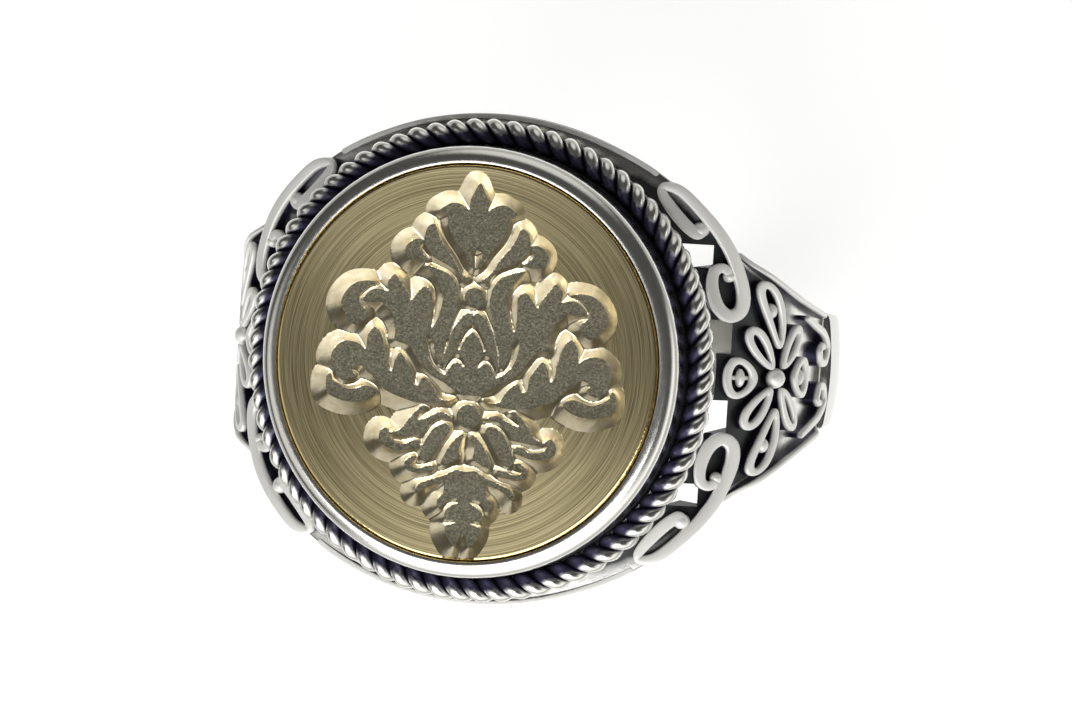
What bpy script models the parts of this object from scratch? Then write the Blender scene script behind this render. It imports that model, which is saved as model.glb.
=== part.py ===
"""Signet ring: a brass seal disc in a silver head, on a silver shank with filigree shoulders.

The ring stands on its shank. +Z is the seal face's normal, X runs from shoulder to shoulder and Y runs
along the finger hole. The origin is under the middle of the shank, at its lowest point.
Every dimension is in millimetres and is turned into metres as a mesh is made.
"""

import math

import bmesh
import bpy
import numpy as np

MM = 0.001

# Finger hole and band
FINGER_RADIUS = 9.45
BAND_THICKNESS = 1.5
FOOT_FLAT = 0.15  # depth of the small flat under the band, which the ring stands on
FINGER_Z = FINGER_RADIUS + BAND_THICKNESS - FOOT_FLAT
FINGER_DEPTH = 12.45  # from the seal face down to the finger axis
FACE_Z = FINGER_Z + FINGER_DEPTH

# Outer line of the shank, seen along the finger: a superellipse above the axis, an ellipse below it
SHOULDER_HALF_SPAN = 11.12
CHEEK_HEIGHT = 9.83
SHOULDER_SQUARENESS = 3.9
# Half of the shank's width, against the distance along that line from the top
HALF_WIDTH_AT = (0.0, 4.0, 7.0, 9.4, 11.9, 15.5, 20.0, 26.0, 33.0)
HALF_WIDTH = (9.42, 8.7, 7.15, 4.95, 3.5, 2.5, 2.15, 2.02, 2.0)
RECESS_END = 17.6  # the plain, thicker band starts here
BAND_RISE = 0.42
BAND_CROWN = 0.2  # how much lower the plain band's outer surface is at its edges than along its middle
CROWN_SHARES = (-1.0, -0.85, -0.7, -0.5, -0.25, 0.0, 0.25, 0.5, 0.7, 0.85, 1.0)
EDGE_BEVEL = 0.12
SHANK_STATIONS = 104

# Opening in the shank under the head: round, with a cheek left at each side to carry the head
SEAT_RADIUS = 8.8
SEAT_HALF_WIDTH = 7.0
# Windows in the shoulders beside the rope: (reach from the centre, nearer edge, farther edge)
WINDOWS = ((9.25, 0.9, 2.15), (8.45, 4.12, 4.98))

# Head, with heights measured down from the seal face
DISC_RADIUS = 7.48
DISC_THICKNESS = 1.3
DISC_TURN = math.radians(0.7)
ORNAMENT_OFFSET = 0.1
ENGRAVING_DEPTH = 0.5
BEZEL_BORE = 7.51
BEZEL_RADIUS = 8.19
BEZEL_FLOOR = 0.6
PLATE_RADIUS = 9.0
PLATE_THICKNESS = 0.24
PLATE_DROP = FINGER_DEPTH - CHEEK_HEIGHT - PLATE_THICKNESS - 0.02
HEAD_SEGMENTS = 64

# Rope: two wires twisted round each other
ROPE_RADIUS = 8.71
ROPE_DROP = 1.84
ROPE_TURNS = 36
WIRE_RADIUS = 0.23
WIRE_OFFSET = 0.25
ROPE_STEPS_PER_TURN = 8
WIRE_SIDES = 4

# Filigree on the shoulders: x is the distance along the shank from its top, y is across it
SOLDER_GAP = 0.02
RELIEF = 0.5
SCROLL_WIDTH = 0.42
SCROLL_END_SHARE = 0.55  # of the scroll's width, at its two curled ends
PETAL_STRIP = 0.26
RAIL_WIDTH = 0.2
FLOWER_AT = 11.54
FLOWER_BALL = 0.38
STAMEN_BALL = 0.24
STAMEN_STEM = 0.09
HEAD_SCROLL = (
    (7.48, 5.9), (7.75, 5.7), (7.76, 5.38), (7.45, 5.32), (7.08, 5.78), (6.47, 6.62), (6.66, 7.02),
    (7.6, 6.5), (8.5, 5.6), (9.5, 4.2), (9.82, 3.0), (9.35, 2.42), (8.7, 2.85), (8.4, 3.9),
    (8.75, 4.2), (9.12, 3.75),
)
BAND_SCROLL = (
    (13.55, 2.3), (14.7, 1.95), (15.9, 1.62), (16.7, 1.1), (16.45, 0.52), (15.75, 0.5), (15.5, 1.0),
    (15.95, 1.12),
)
RECESS_OUTLINE = (
    (0.0, 7.1), (0.95, 6.3), (1.75, 5.9), (2.9, 4.3), (2.6, 3.2), (4.9, 3.4), (5.3, 2.2),
    (4.5, 1.3), (5.9, 0.4), (5.7, -0.9), (4.6, -2.2), (3.3, -2.3), (3.5, -3.2), (2.5, -4.1),
    (1.6, -5.0), (0.9, -5.7), (0.75, -6.4), (0.0, -6.8),
)


def clear_scene():
    for obj in list(bpy.data.objects):
        bpy.data.objects.remove(obj, do_unlink=True)


def material(name, colour, roughness, metallic=1.0):
    made = bpy.data.materials.new(name)
    made.use_nodes = True
    shader = made.node_tree.nodes["Principled BSDF"]
    shader.inputs["Base Color"].default_value = (*colour, 1.0)
    shader.inputs["Roughness"].default_value = roughness
    shader.inputs["Metallic"].default_value = metallic
    return made


def add_mesh(name, points, faces, finish):
    """A named object from points in millimetres, with its faces turned outwards."""
    mesh = bpy.data.meshes.new(name)
    mesh.from_pydata([tuple(c * MM for c in point) for point in points], [], faces)
    edit = bmesh.new()
    edit.from_mesh(mesh)
    bmesh.ops.recalc_face_normals(edit, faces=edit.faces)
    edit.to_mesh(mesh)
    edit.free()
    mesh.shade_smooth()
    mesh.set_sharp_from_angle(angle=math.radians(35))
    mesh.materials.append(finish)
    obj = bpy.data.objects.new(name, mesh)
    bpy.context.scene.collection.objects.link(obj)
    return obj


def cut(target, cutter):
    cutter.hide_render = True
    cutter.display_type = "WIRE"
    boolean = target.modifiers.new("cut_" + cutter.name, "BOOLEAN")
    boolean.operation = "DIFFERENCE"
    boolean.object = cutter


def ring_faces(rings, sides, closed):
    """Quads between successive rings of points, with flat ends unless the last ring meets the first."""
    faces = []
    for ring in range(rings if closed else rings - 1):
        following = (ring + 1) % rings
        for side in range(sides):
            beside = (side + 1) % sides
            here, ahead = ring * sides, following * sides
            faces.append((here + side, here + beside, ahead + beside, ahead + side))
    if not closed:
        faces.append(tuple(range(sides)))
        faces.append(tuple((rings - 1) * sides + side for side in range(sides)))
    return faces


def turned_disc(name, outline, finish, segments=HEAD_SEGMENTS):
    """A solid of revolution whose outline starts and ends on the axis."""
    inner = outline[1:-1]
    points = [(0.0, 0.0, outline[0][1]), (0.0, 0.0, outline[-1][1])]
    for step in range(segments):
        angle = 2 * math.pi * step / segments
        points += [(r * math.cos(angle), r * math.sin(angle), z) for r, z in inner]
    count = len(inner)
    faces = []
    for step in range(segments):
        here, beside = 2 + step * count, 2 + (step + 1) % segments * count
        faces.append((0, here, beside))
        faces += [(here + i, here + i + 1, beside + i + 1, beside + i) for i in range(count - 1)]
        faces.append((1, beside + count - 1, here + count - 1))
    return add_mesh(name, points, faces, finish)


def spline(points, per_span, closed=False):
    """A Catmull-Rom curve through the points."""
    points = np.array(points, float)
    if closed:
        padded = np.vstack([points[-1], points, points[0], points[1]])
    else:
        padded = np.vstack([2 * points[0] - points[1], points, 2 * points[-1] - points[-2]])
    out = []
    for i in range(len(padded) - 3):
        a, b, c, d = padded[i : i + 4]
        for t in np.arange(per_span) / per_span:
            curved = (2 * a - 5 * b + 4 * c - d) * t**2 + (3 * b - a - 3 * c + d) * t**3
            out.append(0.5 * (2 * b + (c - a) * t + curved))
    if not closed:
        out.append(points[-1])
    return np.array(out)


def shank_line():
    """Half of the shank's outer line as distance, x, z and outward normal, from the top to the bottom."""
    t = np.linspace(0.0, math.pi, 6001)
    power = 2 / SHOULDER_SQUARENESS
    upper = t <= math.pi / 2
    sine, cosine = np.abs(np.sin(t)), np.abs(np.cos(t))
    x = np.where(upper, SHOULDER_HALF_SPAN * sine**power, SHOULDER_HALF_SPAN * sine)
    z = np.where(upper, CHEEK_HEIGHT * cosine**power, -(FINGER_RADIUS + BAND_THICKNESS) * cosine)
    distance = np.concatenate([[0.0], np.cumsum(np.hypot(np.diff(x), np.diff(z)))])
    even = np.linspace(0.0, distance[-1], 1601)
    x, z = np.interp(even, distance, x), np.interp(even, distance, z)
    along_x, along_z = np.gradient(x), np.gradient(z)
    length = np.hypot(along_x, along_z)
    return even, x, z, -along_z / length, along_x / length


LINE = shank_line()
LINE_LENGTH = LINE[0][-1]


def on_shank(along, across, height):
    """The point at a distance along the shank from its top, negative on the left, raised off its surface."""
    x, z, normal_x, normal_z = (np.interp(abs(along), LINE[0], values) for values in LINE[1:])
    side = math.copysign(1.0, along)
    return (side * (x + height * normal_x), across, FINGER_Z + z + height * normal_z)


def half_width(along):
    """A smooth curve through the half widths, with the slope at each point taken from its neighbours."""
    slopes = np.gradient(HALF_WIDTH, HALF_WIDTH_AT)
    slopes[0] = 0.0
    along = min(abs(along), HALF_WIDTH_AT[-1] - 1e-9)
    i = int(np.searchsorted(HALF_WIDTH_AT, along, side="right")) - 1
    span = HALF_WIDTH_AT[i + 1] - HALF_WIDTH_AT[i]
    t = (along - HALF_WIDTH_AT[i]) / span
    return (
        HALF_WIDTH[i] * (2 * t**3 - 3 * t**2 + 1)
        + span * slopes[i] * (t**3 - 2 * t**2 + t)
        + HALF_WIDTH[i + 1] * (3 * t**2 - 2 * t**3)
        + span * slopes[i + 1] * (t**3 - t**2)
    )


def band_rise(along):
    """How far the plain band stands above the recessed shoulders."""
    if abs(along) < RECESS_END:
        return 0.0
    return BAND_RISE * (LINE_LENGTH - abs(along)) / (LINE_LENGTH - RECESS_END)


def shank(finish):
    step_length = 0.12
    half = [LINE_LENGTH * i / (SHANK_STATIONS // 2) for i in range(SHANK_STATIONS // 2 + 1)]
    half = [s for s in half if abs(s - RECESS_END) > 2 * step_length]
    half = sorted(half + [RECESS_END - step_length, RECESS_END])
    stations = half + [-s for s in half[-2:0:-1]]
    points = []
    for s in stations:
        wide, rise = half_width(s), band_rise(s)
        crown = BAND_CROWN if abs(s) >= RECESS_END else 0.0
        outer = on_shank(s, 0.0, rise)
        lip = on_shank(s, 0.0, rise - crown - EDGE_BEVEL)
        reach = math.hypot(outer[0], outer[2] - FINGER_Z)
        towards = (outer[0] / reach, (outer[2] - FINGER_Z) / reach)
        lip_z = max(lip[2], EDGE_BEVEL)
        for radius, y in ((FINGER_RADIUS, wide - EDGE_BEVEL), (FINGER_RADIUS + EDGE_BEVEL, wide)):
            points.append((towards[0] * radius, -y, FINGER_Z + towards[1] * radius))
        points.append((lip[0], -wide, lip_z))
        for share in CROWN_SHARES:
            top = on_shank(s, share * (wide - EDGE_BEVEL), rise - crown * share**2)
            points.append((top[0], top[1], max(top[2], 0.0)))
        points.append((lip[0], wide, lip_z))
        for radius, y in ((FINGER_RADIUS + EDGE_BEVEL, wide), (FINGER_RADIUS, wide - EDGE_BEVEL)):
            points.append((towards[0] * radius, y, FINGER_Z + towards[1] * radius))
    body = add_mesh("shank", points, ring_faces(len(stations), 6 + len(CROWN_SHARES), True), finish)
    cut(body, seat_cutter(finish))
    for reach, near, far in WINDOWS:
        cut(body, window_cutter(reach, near, far, finish))
        cut(body, window_cutter(reach, -far, -near, finish))
    return body


def seat_cutter(finish):
    """A round cutter with two flat sides, which leave the cheeks."""
    points = []
    for z in (FINGER_Z + 1.4, FACE_Z):
        for step in range(64):
            angle = 2 * math.pi * (step + 0.5) / 64
            y = max(-SEAT_HALF_WIDTH, min(SEAT_HALF_WIDTH, SEAT_RADIUS * math.sin(angle)))
            points.append((SEAT_RADIUS * math.cos(angle), y, z))
    return add_mesh("seat_cutter", points, ring_faces(2, 64, False), finish)


def window_cutter(reach, near, far, finish):
    """A bar that cuts one window in each shoulder."""
    corners = ((-reach, near), (reach, near), (reach, far), (-reach, far))
    points = [(x, y, z) for z in (FINGER_Z + 1.4, FACE_Z) for x, y in corners]
    return add_mesh("window_cutter", points, ring_faces(2, 4, False), finish)


def strip(name, left, right, finish, side=1, closed=False):
    """A strip of square section on the shank between two edges of (along, across) points."""
    points = []
    for first, second in zip(left, right):
        for edge, height in ((first, SOLDER_GAP), (second, SOLDER_GAP), (second, RELIEF), (first, RELIEF)):
            points.append(on_shank(side * edge[0], edge[1], height))
    return add_mesh(name, points, ring_faces(len(points) // 4, 4, closed), finish)


def ribbon(name, path, width, finish, side=1, end_share=1.0):
    """A strip along a centre line, narrower at its ends and inside a bend tighter than it is wide."""
    path = np.array(path, float)
    share = np.linspace(0, 1, len(path))
    width = width * np.interp(share, (0, 0.25, 0.8, 1), (end_share, 1, 1, end_share))[:, None]
    velocity = np.gradient(path, axis=0)
    change = np.gradient(velocity, axis=0)
    speed = np.linalg.norm(velocity, axis=1)
    bend = (velocity[:, 0] * change[:, 1] - velocity[:, 1] * change[:, 0]) / speed**3
    normal = np.stack([-velocity[:, 1], velocity[:, 0]], axis=1) / speed[:, None]
    inner = np.minimum(width / 2, 0.6 / np.maximum(np.abs(bend), 1e-6)[:, None])
    turns_left = (bend > 0)[:, None]
    left = path + normal * np.where(turns_left, inner, width / 2)
    right = path - normal * np.where(turns_left, width / 2, inner)
    return strip(name, left, right, finish, side)


def petal(name, angle, start, length, width, finish, side=1, bend=0.0, steps=18):
    """A leaf-shaped loop pointing away from the flower's centre, wider and turned aside towards its tip."""
    edges = []
    for wall in (-PETAL_STRIP / 2, PETAL_STRIP / 2):
        edge = []
        for step in range(steps):
            turn = 2 * math.pi * step / steps
            share = (1 - math.cos(turn)) / 2
            out = start + wall + (length - 2 * wall) * share
            aside = (width / 2 - wall) * math.sin(turn) * (0.6 + 0.5 * share)
            way = angle + bend * (out - start) / length
            s = FLOWER_AT + out * math.cos(way) - aside * math.sin(way)
            edge.append((s, out * math.sin(way) + aside * math.cos(way)))
        edges.append(edge)
    return strip(name, edges[0], edges[1], finish, side, closed=True)


def stamen(name, angle, start, end, side, finish):
    """A thin stem lying on the shoulder with a round bead on its outer end, as one turned piece."""
    height = SOLDER_GAP + STAMEN_BALL
    stations = [(start, STAMEN_STEM), (end - STAMEN_BALL, STAMEN_STEM)]
    for turn in (35, 65, 90, 115, 145, 170):
        radians = math.radians(turn)
        stations.append((end - STAMEN_BALL * math.cos(radians) * 0.98, STAMEN_BALL * math.sin(radians)))
    points = []
    for out, radius in stations:
        for step in range(8):
            turn = 2 * math.pi * step / 8
            aside = radius * math.cos(turn)
            s = FLOWER_AT + out * math.cos(angle) - aside * math.sin(angle)
            y = out * math.sin(angle) + aside * math.cos(angle)
            points.append(on_shank(side * s, y, height + radius * math.sin(turn)))
    return add_mesh(name, points, ring_faces(len(stations), 8, False), finish)


def flower_ball(name, side, finish):
    """A dome on the shoulder's surface."""
    points = [on_shank(side * FLOWER_AT, 0.0, SOLDER_GAP + 1.7 * FLOWER_BALL)]
    levels = ((0.4, 1.6), (0.75, 1.35), (1.0, 0.8), (0.95, 0.0))
    for share, height in levels:
        for step in range(16):
            turn = 2 * math.pi * step / 16
            radius = FLOWER_BALL * share
            s = FLOWER_AT + radius * math.cos(turn)
            points.append(on_shank(side * s, radius * math.sin(turn), SOLDER_GAP + FLOWER_BALL * height))
    faces = [(0, 1 + step, 1 + (step + 1) % 16) for step in range(16)]
    for level in range(len(levels) - 1):
        for step in range(16):
            here, beside = 1 + level * 16 + step, 1 + level * 16 + (step + 1) % 16
            faces.append((here, here + 16, beside + 16, beside))
    faces.append(tuple(1 + (len(levels) - 1) * 16 + step for step in range(16)))
    return add_mesh(name, points, faces, finish)


def shoulder(label, side, finish):
    """The filigree of one shoulder: scrolls, rails and an eight-petalled flower."""
    for edge, mirror in (("back", 1), ("front", -1)):
        head_scroll = spline(HEAD_SCROLL, 3) * (1, mirror)
        ribbon(f"{label}_head_scroll_{edge}", head_scroll, SCROLL_WIDTH, finish, side, SCROLL_END_SHARE)
        band_scroll = spline(BAND_SCROLL, 3) * (1, mirror)
        ribbon(f"{label}_band_scroll_{edge}", band_scroll, PETAL_STRIP, finish, side)
        rail = [(s, mirror * (half_width(s) - 0.6 * RAIL_WIDTH)) for s in np.linspace(10.0, 17.3, 14)]
        ribbon(f"{label}_rail_{edge}", rail, RAIL_WIDTH, finish, side)
        long_way, long_bend, head_way, band_way = (mirror * math.radians(turn) for turn in (91, 14, 128, 55))
        petal(f"{label}_long_petal_{edge}", long_way, 1.3, 2.4, 0.9, finish, side, long_bend)
        petal(f"{label}_head_petal_{edge}", head_way, 0.7, 1.55, 0.66, finish, side)
        petal(f"{label}_band_petal_{edge}", band_way, 0.7, 1.55, 0.66, finish, side)
        stamen(f"{label}_long_stamen_{edge}", long_way + 0.6 * long_bend, 1.75, 2.85, side, finish)
    for end, way in (("head", math.pi), ("shank", 0.0)):
        petal(f"{label}_{end}_ring_petal", way, 0.92, 1.56, 1.85, finish, side)
        stamen(f"{label}_{end}_stamen", way, 1.08, 1.75, side, finish)
    flower_ball(f"{label}_flower_ball", side, finish)


def seal_disc(finish):
    """The brass seal, with the outline of its engraving sunk into the face."""
    chamfer = 0.12
    outline = ((0.0, FACE_Z), (DISC_RADIUS - chamfer, FACE_Z), (DISC_RADIUS, FACE_Z - chamfer),
               (DISC_RADIUS, FACE_Z - DISC_THICKNESS), (0.0, FACE_Z - DISC_THICKNESS))
    disc = turned_disc("seal_disc", outline, finish)
    half = list(RECESS_OUTLINE)
    whole = half + [(-x, y) for x, y in half[-2:0:-1]]
    loop = spline(whole, 2, closed=True)
    sine, cosine = math.sin(DISC_TURN), math.cos(DISC_TURN)
    loop = loop @ np.array(((cosine, sine), (-sine, cosine))) + (ORNAMENT_OFFSET, 0)
    points = [(x, y, FACE_Z + z) for z in (-ENGRAVING_DEPTH, 1.0) for x, y in loop]
    cut(disc, add_mesh("engraving_cutter", points, ring_faces(2, len(loop), False), finish))


def bezel(finish):
    """The cup that holds the disc: a rounded rim, a straight wall and a floor."""
    rim = [(BEZEL_BORE, -0.16), (7.55, -0.02), (7.7, 0.0), (7.92, -0.06), (8.1, -0.22), (BEZEL_RADIUS, -0.5)]
    floor_top = -DISC_THICKNESS - 0.02
    outline = [(0.0, floor_top), (BEZEL_BORE, floor_top)] + rim
    outline += [(BEZEL_RADIUS, -PLATE_DROP + 0.02), (BEZEL_BORE, -PLATE_DROP + 0.02),
                (BEZEL_BORE - 0.4, floor_top - BEZEL_FLOOR), (0.0, floor_top - BEZEL_FLOOR)]
    turned_disc("bezel_cup", [(r, FACE_Z + z) for r, z in outline], finish)


def base_plate(finish):
    """The thin round plate under the rope, which the head stands on."""
    top, bottom = FACE_Z - PLATE_DROP, FACE_Z - PLATE_DROP - PLATE_THICKNESS
    outline = ((0.0, top), (PLATE_RADIUS, top), (PLATE_RADIUS, bottom), (0.0, bottom))
    turned_disc("base_plate", outline, finish)


def rope_strand(name, phase, finish):
    steps = ROPE_TURNS * ROPE_STEPS_PER_TURN
    points = []
    angles = [2 * math.pi * i / steps for i in range(steps)]
    centres = []
    for angle in angles:
        twist = phase - ROPE_TURNS * angle
        radius = ROPE_RADIUS + WIRE_OFFSET * math.cos(twist)
        z = FACE_Z - ROPE_DROP + WIRE_OFFSET * math.sin(twist)
        centres.append((radius * math.cos(angle), radius * math.sin(angle), z))
    centres = np.array(centres)
    along = np.roll(centres, -1, axis=0) - np.roll(centres, 1, axis=0)
    along /= np.linalg.norm(along, axis=1)[:, None]
    for centre, tangent, angle in zip(centres, along, angles):
        outward = np.array((math.cos(angle), math.sin(angle), 0.0))
        first = outward - tangent * outward.dot(tangent)
        first /= np.linalg.norm(first)
        second = np.cross(tangent, first)
        for side in range(WIRE_SIDES):
            turn = 2 * math.pi * side / WIRE_SIDES
            points.append(centre + WIRE_RADIUS * (math.cos(turn) * first + math.sin(turn) * second))
    return add_mesh(name, points, ring_faces(steps, WIRE_SIDES, True), finish)


def cheek_rails(finish):
    """The thin raised edge that passes the head on each side, from shoulder to shoulder."""
    for edge, mirror in (("back", 1), ("front", -1)):
        path = [(s, mirror * (half_width(s) - 0.6 * RAIL_WIDTH)) for s in np.linspace(-6.0, 6.0, 25)]
        ribbon(f"cheek_rail_{edge}", path, RAIL_WIDTH, finish)


def main():
    clear_scene()
    brass = material("brushed_brass", (0.42, 0.35, 0.17), 0.35)
    silver = material("polished_silver", (0.86, 0.85, 0.80), 0.18)
    dark_silver = material("oxidised_silver", (0.16, 0.16, 0.16), 0.45)
    seal_disc(brass)
    bezel(silver)
    base_plate(silver)
    rope_strand("rope_strand_a", 0.0, silver)
    rope_strand("rope_strand_b", math.pi, silver)
    shank(dark_silver)
    cheek_rails(silver)
    shoulder("right", 1, silver)
    shoulder("left", -1, silver)


main()
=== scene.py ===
"""Looks of the signet ring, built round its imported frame.

An engraved brass seal sits in a silver head with a twisted rope border, on a silver shank with filigree
shoulders. Lengths are in millimetres, and become metres as each mesh is made. On the shoulders a place is
given as (along, across): the distance along the shank from its top, and the distance across it.
"""

import math

import bpy
import numpy as np
from mathutils import Matrix, Vector


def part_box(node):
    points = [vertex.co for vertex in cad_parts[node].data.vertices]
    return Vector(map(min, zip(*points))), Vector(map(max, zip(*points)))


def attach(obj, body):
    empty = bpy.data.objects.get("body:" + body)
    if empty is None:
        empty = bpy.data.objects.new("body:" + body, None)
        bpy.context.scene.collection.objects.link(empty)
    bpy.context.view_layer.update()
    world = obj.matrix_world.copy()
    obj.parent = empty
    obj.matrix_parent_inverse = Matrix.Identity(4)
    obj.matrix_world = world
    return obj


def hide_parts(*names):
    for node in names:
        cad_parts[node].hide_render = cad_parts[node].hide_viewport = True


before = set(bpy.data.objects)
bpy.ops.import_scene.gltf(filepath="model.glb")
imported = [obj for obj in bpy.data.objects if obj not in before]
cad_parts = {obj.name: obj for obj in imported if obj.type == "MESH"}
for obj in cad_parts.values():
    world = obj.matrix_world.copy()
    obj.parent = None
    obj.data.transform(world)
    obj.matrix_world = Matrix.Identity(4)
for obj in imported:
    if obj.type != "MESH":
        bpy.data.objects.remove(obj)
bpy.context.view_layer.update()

MM = 0.001


def box_mm(node):
    low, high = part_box(node)
    return np.array(low) / MM, np.array(high) / MM


# Heights and radii taken from the frame
FACE_Z = box_mm("seal_disc")[1][2]
DISC_RADIUS = box_mm("seal_disc")[1][0]
DISC_BOTTOM = box_mm("seal_disc")[0][2]
BEZEL_RADIUS = box_mm("bezel_cup")[1][0]
BEZEL_BOTTOM = box_mm("bezel_cup")[0][2]
PLATE_RADIUS = box_mm("base_plate")[1][0]
PLATE_BOTTOM, PLATE_TOP = box_mm("base_plate")[0][2], box_mm("base_plate")[1][2]
ROPE_Z = (box_mm("rope_strand_a")[0][2] + box_mm("rope_strand_a")[1][2]) / 2

# Shank, as in the design
FINGER_RADIUS = 9.45
FINGER_DEPTH = 12.45
FINGER_Z = FACE_Z - FINGER_DEPTH
BAND_OUTER_RADIUS = 10.95
SHOULDER_HALF_SPAN = 11.12
CHEEK_HEIGHT = 9.83
SHOULDER_SQUARENESS = 3.9
HALF_WIDTH_AT = (0.0, 4.0, 7.0, 9.4, 11.9, 15.5, 20.0, 26.0, 33.0)
HALF_WIDTH = (9.42, 8.7, 7.15, 4.95, 3.5, 2.5, 2.15, 2.02, 2.0)
RECESS_END = 17.6
BAND_RISE = 0.42
SEAT_RADIUS = 8.8
SEAT_HALF_WIDTH = 7.0
# Openings beside the rope on each shoulder: (reach from the centre, nearer edge, farther edge), mirrored
WINDOWS = ((9.25, 0.9, 2.15), (8.45, 4.12, 4.98))

# Gap between pieces that are soldered together
SOLDER_GAP = 0.02

# Bezel, whose rim is a quarter of an oval
RIM_WIDTH = 0.56
RIM_DROP = 0.52
RIM_RISE = 0.505

# Rope
ROPE_RADIUS = 8.71
ROPE_TURNS = 36
WIRE_RADIUS = 0.27
WIRE_OFFSET = 0.25

# Filigree
RELIEF = 0.52
FLOWER_AT = 11.54
PETAL_STRIP = 0.32

# Engraving
ORNAMENT_TURN = math.radians(0.7)
ORNAMENT_OFFSET = 0.1
ENGRAVING_DEPTH = 0.44
WALL_WIDTH = 0.47
DISC_CHAMFER = 0.09
DISC_CELLS = 400

# Ground of the damask ornament, right half. An outline in AXIAL starts and ends on the axis of symmetry.
AXIAL = {
    "top_leaf": ((0, 6.8), (0.2, 6.45), (0.35, 6.1), (0.35, 5.65), (0.25, 5.25), (0, 4.75)),
    "bead": ((0, 2.82), (0.28, 2.73), (0.38, 2.45), (0.28, 2.17), (0, 2.07)),
    "bud": (
        (0, 1.15), (0.2, 1), (0.35, 0.75), (0.45, 0.45), (0.35, 0.2), (0.25, -0.05), (0.3, -0.2),
        (0.45, -0.05), (0.65, -0.05), (0.8, -0.2), (0.95, -0.4), (1, -0.6), (0.9, -0.85), (0.6, -1.1),
        (0.35, -1.25), (0, -1.25),
    ),
    "ball": ((0, -1.6), (0.33, -1.72), (0.47, -2.05), (0.33, -2.37), (0, -2.5)),
    "bell": (
        (0, -4.15), (0.35, -4.1), (0.6, -4.2), (0.85, -4.35), (1.15, -4.45), (1.55, -4.6), (1.85, -4.75),
        (1.95, -5), (1.85, -5.1), (1.55, -4.85), (1.2, -4.7), (0.85, -4.65), (0.85, -5), (1.05, -5.25),
        (1.05, -5.55), (0.9, -5.6), (0.75, -5.4), (0.65, -5.25), (0.3, -5.2), (0.25, -5.35), (0.55, -5.5),
        (0.75, -5.75), (0.7, -6), (0.4, -6), (0.3, -6.1), (0.55, -6.2), (0.7, -6.25), (0.65, -6.55),
        (0.4, -6.95), (0.25, -7), (0.15, -6.7), (0, -6.5),
    ),
}
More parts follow.
